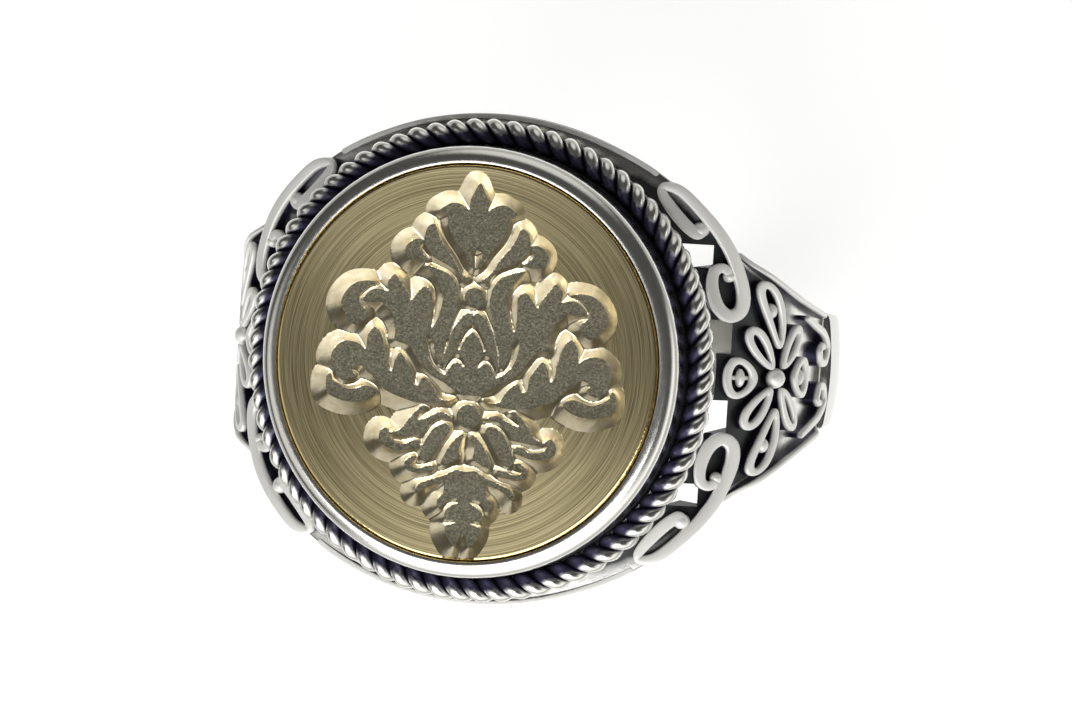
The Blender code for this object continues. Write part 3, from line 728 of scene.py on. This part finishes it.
def shank(finish):
    """The band: polished inside, on its edges and where it is plain, dark with patina and painted shade in
    its recessed shoulders, and lighter with a painted sheen further out in each recess.
    """
    around_step = RECESS_END + np.linspace(-0.15, 0.05, 5)
    half = np.unique(np.concatenate([np.linspace(0, LINE_LENGTH, 200), around_step]))
    stations = np.concatenate([half, -half[-2:0:-1]])
    wide = half_width(stations)
    plain = smooth_step(np.abs(stations), RECESS_END - 0.12, RECESS_END)
    rise = plain * BAND_RISE * (LINE_LENGTH - np.abs(stations)) / (LINE_LENGTH - RECESS_END)
    # Painted sheen: the recess turns lighter from 11.4 to 14 mm along the shank, standing in for light it
    # reflects at a grazing angle.
    painted_sheen = 0.7 * smooth_step(np.abs(stations), 11.4, 14.0)
    outer_round, inner_round, crown = 0.13, 0.22, 0.2
    rows, polish = [], []
    outer = on_shank(stations, 0.0, rise)
    reach = np.hypot(outer[:, 0], outer[:, 2] - FINGER_Z)
    towards = np.stack([outer[:, 0] / reach, (outer[:, 2] - FINGER_Z) / reach], axis=1)

    def bore_row(y, radius):
        return np.stack([towards[:, 0] * radius, y, FINGER_Z + towards[:, 1] * radius], axis=1)

    def outer_row(share, drop):
        y = share * wide
        row = on_shank(stations, 0.0, rise - drop - plain * crown * (y / wide) ** 2)
        row[:, 1] = y
        row[:, 2] = np.maximum(row[:, 2], drop)
        return row

    corner = np.radians((0, 22, 45, 68, 90))
    for turn in corner:
        inwards = inner_round * (1 - math.sin(turn))
        rows.append(bore_row(-wide + inwards, FINGER_RADIUS + inner_round * (1 - math.cos(turn))))
        polish.append(np.ones(len(stations)))
    for turn in corner[::-1]:
        row = outer_row(-1.0, outer_round * (1 - math.cos(turn)))
        row[:, 1] = -wide + outer_round * (1 - math.sin(turn))
        rows.append(row)
        polish.append(np.ones(len(stations)))
    for share in np.linspace(-0.9, 0.9, 13):
        rows.append(outer_row(share, 0.0))
        polish.append(np.maximum(plain, painted_sheen))
    for turn in corner:
        row = outer_row(1.0, outer_round * (1 - math.cos(turn)))
        row[:, 1] = wide - outer_round * (1 - math.sin(turn))
        rows.append(row)
        polish.append(np.ones(len(stations)))
    for turn in corner[::-1]:
        inwards = inner_round * (1 - math.sin(turn))
        rows.append(bore_row(wide - inwards, FINGER_RADIUS + inner_round * (1 - math.cos(turn))))
        polish.append(np.ones(len(stations)))
    points = np.stack(rows, axis=1)
    values = np.stack(polish, axis=1)
    body = add_piece(
        "tapered_shank", points.reshape(-1, 3), ring_faces(len(stations), len(rows), True), [finish],
        ["shank"], values.ravel(),
    )
    cutters = seat_cutters()
    for cutter in cutters:
        boolean = body.modifiers.new("opening", "BOOLEAN")
        boolean.operation = "DIFFERENCE"
        boolean.object = cutter
    graph = bpy.context.evaluated_depsgraph_get()
    cut = bpy.data.meshes.new_from_object(body.evaluated_get(graph), depsgraph=graph)
    body.modifiers.clear()
    body.data = cut
    cut.set_sharp_from_angle(angle=math.radians(38))
    for cutter in cutters:
        bpy.data.objects.remove(cutter)
    return body


# ---------------------------------------------------------------- filigree


def section():
    """Across a filigree strip, over its flat top from foot to foot: (share across, share of height)."""
    half = [(0.0, -0.12), (0.0, 0.45), (0.0, 0.8)]
    for turn in np.radians((30, 60, 90)):
        half.append((0.17 * (1 - math.cos(turn)), 0.8 + 0.2 * math.sin(turn)))
    return np.array(half + [(1 - share, height) for share, height in half[::-1]])


SECTION = section()


def strip_points(left, right, side, relief=RELIEF):
    left, right = np.asarray(left, float), np.asarray(right, float)
    flat = left[:, None] + (right - left)[:, None] * SECTION[None, :, :1]
    relief = np.broadcast_to(relief, len(left))
    points = on_shank(side * flat[..., 0], flat[..., 1], relief[:, None] * SECTION[None, :, 1])
    # Patina and painted shade: a strip is bright on its top and dark down its sides.
    polish = np.broadcast_to(smooth_step(SECTION[:, 1], 0.35, 0.95), flat.shape[:2])
    return points.reshape(-1, 3), polish.ravel()


def ribbon_edges(path):
    """The two edges of a strip along rows of (along, across, width), with rounded ends."""
    line, width = path[:, :2], path[:, 2]
    velocity = np.gradient(line, axis=0)
    change = np.gradient(velocity, axis=0)
    speed = np.linalg.norm(velocity, axis=1)
    bend = (velocity[:, 0] * change[:, 1] - velocity[:, 1] * change[:, 0]) / speed**3
    reach = np.concatenate([[0.0], np.cumsum(np.hypot(*np.diff(line, axis=0).T))])
    to_end = np.minimum(np.minimum(reach, reach[-1] - reach), width / 2)
    half = np.sqrt(np.maximum((width / 2) ** 2 - (width / 2 - to_end) ** 2, 1e-4))
    normal = np.stack([-velocity[:, 1], velocity[:, 0]], axis=1) / speed[:, None]
    inner = np.minimum(half, 0.75 / np.maximum(np.abs(bend), 1e-6))
    left = line + normal * np.where(bend > 0, inner, half)[:, None]
    right = line - normal * np.where(bend > 0, half, inner)[:, None]
    return left, right


def petal_edges(angle, start, length, width, bend=0.0, strip=PETAL_STRIP, steps=96):
    """Outer and inner loop of a leaf-shaped petal that points away from the flower's centre."""
    turn = 2 * math.pi * np.arange(steps) / steps
    share = (1 - np.cos(turn)) / 2
    loops = []
    for wall in (-strip / 2, strip / 2):
        out = start + wall + (length - 2 * wall) * share
        aside = (width / 2 - wall) * np.sin(turn) * (0.6 + 0.5 * share)
        way = angle + bend * (out - start) / length
        along = FLOWER_AT + out * np.cos(way) - aside * np.sin(way)
        loops.append(np.stack([along, out * np.sin(way) + aside * np.cos(way)], axis=1))
    return loops


def bead_points(along, across, radii, side, height=0.0, turns=24, levels=12):
    """A round or oval bead on the shoulder: radii are along, across and off the surface."""
    rings = []
    for level in range(1, levels):
        polar = math.pi * level / levels
        angles = 2 * math.pi * np.arange(turns) / turns
        rings.append(
            on_shank(
                side * (along + radii[0] * math.sin(polar) * np.cos(angles)),
                across + radii[1] * math.sin(polar) * np.sin(angles),
                height + radii[2] * math.cos(polar),
            )
        )
    points = np.vstack(rings)
    # Patina and painted shade: a bead is bright on top and dark underneath.
    heights = np.repeat([math.cos(math.pi * level / levels) for level in range(1, levels)], turns)
    return points, ring_faces(levels - 1, turns, False), smooth_step(heights, -0.5, 0.4)


class Filigree:
    """One piece of shoulder ornament, gathered from strips and beads."""

    def __init__(self, name, nodes, side, finish):
        self.name, self.nodes, self.side, self.finish = name, nodes, side, finish
        self.points, self.faces, self.polish, self.count = [], [], [], 0

    def gather(self, points, faces, polish):
        self.points.append(points)
        self.faces += [tuple(i + self.count for i in face) for face in faces]
        self.polish.append(polish)
        self.count += len(points)

    def ribbon(self, rows, relief=RELIEF, fade=0.0):
        """A strip along the rows, whose relief may fade in and out over a distance at its ends."""
        path = even_path(rows, 0.04)
        left, right = ribbon_edges(path)
        if fade:
            reach = 0.04 * np.arange(len(path))
            relief = relief * (0.12 + 0.88 * smooth_step(np.minimum(reach, reach[::-1]), 0.0, fade))
        points, polish = strip_points(left, right, self.side, relief)
        self.gather(points, ring_faces(len(left), len(SECTION), False), polish)

    def petal(self, *shape, relief=RELIEF, **more):
        outer, inner = petal_edges(*shape, **more)
        points, polish = strip_points(outer, inner, self.side, relief)
        self.gather(points, ring_faces(len(outer), len(SECTION), True), polish)

    def bead(self, along, across, radii, height=0.0):
        self.gather(*bead_points(along, across, radii, self.side, height))

    def finish_piece(self):
        add_piece(
            self.name, np.vstack(self.points), self.faces, [self.finish], self.nodes,
            np.concatenate(self.polish), sharp_at=50.0,
        )


# (along, across, width) of the big scroll beside the head, from its hooked end to the middle of its spiral
HEAD_SCROLL = (
    (8.1, 5.6, 0.3), (8.02, 5.45, 0.36), (7.82, 5.4, 0.44), (7.38, 5.74, 0.46), (6.85, 6.34, 0.44),
    (6.5, 6.86, 0.36), (6.62, 7.1, 0.34), (7.21, 6.93, 0.42), (8.0, 6.2, 0.44), (8.7, 5.4, 0.46),
    (9.27, 4.47, 0.48), (9.69, 3.32, 0.52), (9.67, 2.6, 0.52), (9.25, 2.34, 0.5), (8.8, 2.66, 0.48),
    (8.54, 3.37, 0.44), (8.56, 3.96, 0.4), (8.86, 4.15, 0.36), (9.16, 3.95, 0.32),
)
BAND_SCROLL = (
    (13.55, 2.3, 0.2), (14.7, 1.95, 0.26), (15.9, 1.62, 0.28), (16.7, 1.1, 0.3), (16.45, 0.52, 0.3),
    (15.75, 0.5, 0.28), (15.5, 1.0, 0.26), (15.95, 1.12, 0.22),
)


def mirrored(rows, way):
    return [(row[0], way * row[1], *row[2:]) for row in rows]


def shoulder(label, side, finish):
    """The filigree of one shoulder: scrolls, rails and an eight-petalled flower."""
    for edge, way in (("back", 1), ("front", -1)):
        def piece(part):
            return Filigree(f"{label}_{part}_{edge}_filigree", [f"{label}_{part}_{edge}"], side, finish)

        scroll = piece("head_scroll")
        scroll.ribbon(mirrored(HEAD_SCROLL, way))
        scroll.bead(8.0, way * 5.55, (0.32, 0.3, 0.3), 0.26)
        scroll.bead(9.16, way * 3.84, (0.23, 0.23, 0.3), 0.26)
        scroll.finish_piece()

        scroll = piece("band_scroll")
        scroll.ribbon(mirrored(BAND_SCROLL, way))
        scroll.bead(15.95, way * 1.1, (0.17, 0.17, 0.25), 0.3)
        scroll.finish_piece()

        rail = piece("rail")
        rail.ribbon([(s, way * (half_width(s) - 0.1), 0.17) for s in np.linspace(9.6, 17.35, 16)], fade=1.6)
        rail.finish_piece()

        long_way, long_bend = way * math.radians(91), way * math.radians(14)
        petal = piece("long_petal")
        petal.petal(long_way, 1.3, 2.4, 0.9, bend=long_bend)
        petal.finish_piece()
        petal = piece("head_petal")
        petal.petal(way * math.radians(128), 0.62, 1.65, 0.68)
        petal.finish_piece()
        petal = piece("band_petal")
        petal.petal(way * math.radians(55), 0.62, 1.65, 0.68)
        petal.finish_piece()

        stamen = piece("long_stamen")
        aim = long_way + 0.6 * long_bend
        stem = [(FLOWER_AT + out * math.cos(aim), out * math.sin(aim), 0.16) for out in (1.5, 1.9, 2.3, 2.6)]
        stamen.ribbon(stem, 0.3)
        stamen.bead(FLOWER_AT + 2.6 * math.cos(aim), 2.6 * math.sin(aim), (0.24, 0.3, 0.3), 0.22)
        stamen.finish_piece()

    for end, turn, reach in (("head", math.pi, -1), ("shank", 0.0, 1)):
        ring = Filigree(f"{label}_{end}_ring_petal_filigree", [f"{label}_{end}_ring_petal"], side, finish)
        ring.petal(turn, 1.18, 1.06, 1.5, strip=0.3)
        ring.finish_piece()
        stamen = Filigree(f"{label}_{end}_stamen_filigree", [f"{label}_{end}_stamen"], side, finish)
        centre = FLOWER_AT + reach * 1.7
        stamen.ribbon([(centre - 0.6, 0.0, 0.16), (centre, 0.0, 0.16), (centre + 0.6, 0.0, 0.16)], 0.3)
        stamen.bead(centre, 0.0, (0.17, 0.36, 0.3), 0.26)
        stamen.finish_piece()

    ball = Filigree(f"{label}_flower_ball_filigree", [f"{label}_flower_ball"], side, finish)
    ball.bead(FLOWER_AT, 0.0, (0.4, 0.4, 0.45), 0.25)
    ball.finish_piece()


def cheek_rails(finish):
    """The thin raised edge that passes the head on each side, from shoulder to shoulder."""
    for edge, way in (("back", 1), ("front", -1)):
        rail = Filigree(f"cheek_rail_{edge}_filigree", [f"cheek_rail_{edge}"], 1, finish)
        stations = np.linspace(-6.3, 6.3, 25)
        rail.ribbon([(s, way * (half_width(s) - 0.11), 0.2) for s in stations], 0.3, fade=4.5)
        rail.finish_piece()


# ---------------------------------------------------------------- studio


VIEW_AZIMUTH, VIEW_ELEVATION, VIEW_ROLL = (math.radians(a) for a in (15.34, 3.58, 3.68))
VIEW_DISTANCE = 200.0
VIEW_SHIFT = (2.665, 0.259)
LENS = 178.05
# In metres: the table's radius, and where the painted glow under the ring starts and stops fading
FLOOR_RADIUS = 0.9
GLOW_START, GLOW_END = 0.025, 0.056
# Soft lights of the room: (direction, angle where it is full, angle where it ends, strength)
SKY_DIM = 0.06
SKY_LIGHTS = (
    ((0.15, -0.98, 0.05), 34, 62, 1.05),
    ((0.98, -0.15, 0.0), 14, 36, 0.95),
    ((-0.75, -0.25, 0.6), 8, 26, 0.6),
    ((0.0, 0.95, 0.3), 14, 34, 0.6),
)


def camera():
    """A long lens over the seal, a little to the right of its axis."""
    towards = Vector(
        (
            math.sin(VIEW_AZIMUTH) * math.cos(VIEW_ELEVATION),
            math.sin(VIEW_ELEVATION),
            math.cos(VIEW_AZIMUTH) * math.cos(VIEW_ELEVATION),
        )
    )
    level = Vector((0, 1, 0)).cross(towards).normalized()
    upright = towards.cross(level)
    right = level * math.cos(VIEW_ROLL) + upright * math.sin(VIEW_ROLL)
    up = upright * math.cos(VIEW_ROLL) - level * math.sin(VIEW_ROLL)
    spot = Vector((0, 0, FACE_Z)) + towards * VIEW_DISTANCE + right * VIEW_SHIFT[0] + up * VIEW_SHIFT[1]
    lens = bpy.data.cameras.new("camera")
    lens.lens, lens.sensor_width = LENS, 36.0
    lens.clip_start, lens.clip_end = 0.01, 5.0
    obj = bpy.data.objects.new("camera", lens)
    obj.matrix_world = Matrix.Translation(spot * MM) @ Matrix((right, up, towards)).transposed().to_4x4()
    bpy.context.scene.collection.objects.link(obj)
    bpy.context.scene.camera = obj


def floor():
    """A pale table that glows as painted light: strongly in a patch under the ring, which washes out the
    ring's shadow, and faintly further out.
    """
    mesh = bpy.data.meshes.new("floor")
    steps = 64
    angles = [2 * math.pi * i / steps for i in range(steps)]
    ring = [(FLOOR_RADIUS * math.cos(angle), FLOOR_RADIUS * math.sin(angle), 0) for angle in angles]
    mesh.from_pydata(ring, [], [tuple(range(steps))])
    made = Finish("floor")
    # Painted light: the floor's own glow, strongest under the ring, so that the ring's shadow is washed out.
    glow_patch = made.add(
        "MapRange", {"interpolation_type": "SMOOTHSTEP"}, Value=distance_from_axis(made, made.place()),
        i1=GLOW_START, i2=GLOW_END, i3=0.78, i4=0.14,
    )
    made.set(Base_Color=(0.46, 0.46, 0.45, 1), Roughness=0.9, Specular_IOR_Level=0.0)
    made.set(Emission_Color=(1, 1, 0.985, 1), Emission_Strength=glow_patch.outputs["Result"])
    mesh.materials.append(made.material)
    obj = bpy.data.objects.new("floor", mesh)
    bpy.context.scene.collection.objects.link(obj)


def sky():
    """A dim room with soft lights in it. Rays from the camera that miss the floor see a pale backdrop."""
    world = bpy.data.worlds.new("studio")
    bpy.context.scene.world = world
    world.use_nodes = True
    tree = world.node_tree
    tree.nodes.clear()

    def maths(operation, first, second=0.0, third=0.0):
        made = tree.nodes.new("ShaderNodeMath")
        made.operation = operation
        for socket, value in zip(made.inputs, (first, second, third)):
            if isinstance(value, bpy.types.NodeSocket):
                tree.links.new(value, socket)
            else:
                socket.default_value = value
        return made.outputs[0]

    place = tree.nodes.new("ShaderNodeTexCoord").outputs["Generated"]
    direction = tree.nodes.new("ShaderNodeVectorMath")
    direction.operation = "NORMALIZE"
    tree.links.new(place, direction.inputs[0])
    strength = SKY_DIM
    for aim, narrow, wide, gain in SKY_LIGHTS:
        dot = tree.nodes.new("ShaderNodeVectorMath")
        dot.operation = "DOT_PRODUCT"
        tree.links.new(direction.outputs[0], dot.inputs[0])
        dot.inputs[1].default_value = Vector(aim).normalized()
        fade = tree.nodes.new("ShaderNodeMapRange")
        fade.interpolation_type = "SMOOTHSTEP"
        tree.links.new(dot.outputs["Value"], fade.inputs["Value"])
        fade.inputs["From Min"].default_value = math.cos(math.radians(wide))
        fade.inputs["From Max"].default_value = math.cos(math.radians(narrow))
        strength = maths("MULTIPLY_ADD", fade.outputs["Result"], gain, strength)
    light = tree.nodes.new("ShaderNodeBackground")
    light.inputs["Color"].default_value = (1.0, 0.985, 0.95, 1)
    tree.links.new(strength, light.inputs["Strength"])
    backdrop = tree.nodes.new("ShaderNodeBackground")
    backdrop.inputs["Strength"].default_value = 0.6
    either = tree.nodes.new("ShaderNodeMixShader")
    tree.links.new(tree.nodes.new("ShaderNodeLightPath").outputs["Is Camera Ray"], either.inputs[0])
    tree.links.new(light.outputs[0], either.inputs[1])
    tree.links.new(backdrop.outputs[0], either.inputs[2])
    tree.links.new(either.outputs[0], tree.nodes.new("ShaderNodeOutputWorld").inputs[0])


def softbox(name, aim, distance, size, power):
    """A square light that faces the seal from a direction."""
    light = bpy.data.lights.new(name, "AREA")
    light.shape, light.size, light.energy = "SQUARE", size, power
    obj = bpy.data.objects.new(name, light)
    obj.location = Vector((0, 0, FACE_Z * MM)) + Vector(aim).normalized() * distance
    obj.rotation_mode = "QUATERNION"
    obj.rotation_quaternion = Vector(aim).to_track_quat("Z", "Y")
    bpy.context.scene.collection.objects.link(obj)


def studio():
    camera()
    floor()
    sky()
    softbox("main_softbox", (-0.08, -0.66, 0.72), 0.35, 0.36, 1.0)
    bpy.context.scene.view_settings.view_transform = "Standard"


def main():
    studio()
    silver = silver_finish("polished_silver", BRIGHT_SILVER, BRIGHT_SILVER, PATINA_AND_SHADE)
    slate = silver_finish("oxidised_silver", PLAIN_SILVER, SHEEN_SILVER, SLATE, rough=0.42)
    face = brushed_brass()
    wall = cut_brass("cut_brass", (0.97, 0.89, 0.68), (0.76, 0.65, 0.42), 0.3)
    edge = cut_brass("polished_brass", (0.9, 0.74, 0.38), (0.82, 0.66, 0.32), 0.16)
    seal_disc(face, wall, engraved_ground(), edge)
    bezel(silver)
    base_plate(silver)
    rope_strand("twisted_rope_a", "rope_strand_a", 0.0, silver)
    rope_strand("twisted_rope_b", "rope_strand_b", math.pi, silver)
    shank(slate)
    satin = satin_silver()
    cheek_rails(satin)
    shoulder("right", 1, satin)
    shoulder("left", -1, satin)


main()
